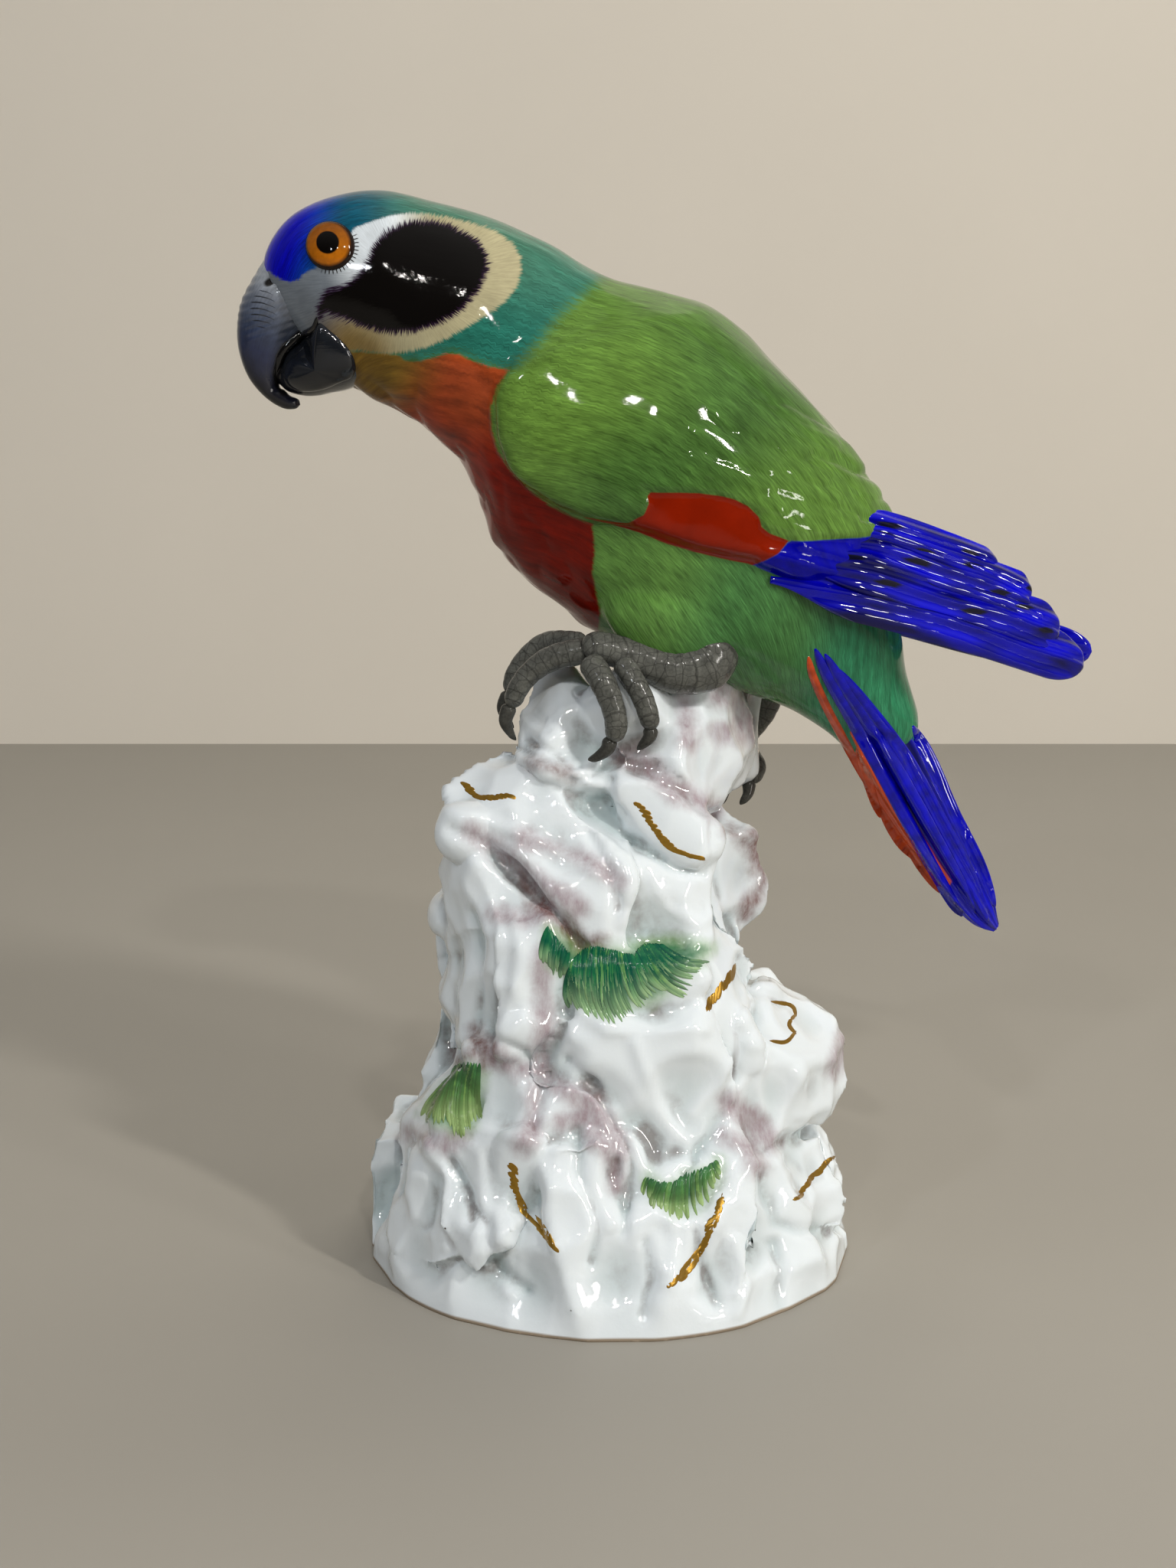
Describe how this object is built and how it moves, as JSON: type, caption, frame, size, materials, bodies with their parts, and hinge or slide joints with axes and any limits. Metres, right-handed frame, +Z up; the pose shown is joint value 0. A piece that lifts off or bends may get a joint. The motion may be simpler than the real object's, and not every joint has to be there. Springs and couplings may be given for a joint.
{
  "type": "porcelain parrot figurine",
  "caption": "Glazed, hand painted porcelain parrot perched on a craggy white rock, cast and fired as one piece with a flat underside.",
  "frame": {"origin": "middle of the rock's flat underside", "axes": "+Z up, from the underside to the crown of the bird's head; the bird faces -X, its left side faces -Y"},
  "size_m": [0.2548, 0.1477, 0.32],
  "materials": {
    "painted_porcelain": "overglaze enamel painting on glazed white hard-paste porcelain",
    "white_glaze": "thick clear glaze on white hard-paste porcelain, with thin mauve washes",
    "gilding": "burnished gold strokes on the glaze"
  },
  "bodies": {
    "root": {"parrot_figurine": "painted_porcelain"}
  },
  "joints": []
}
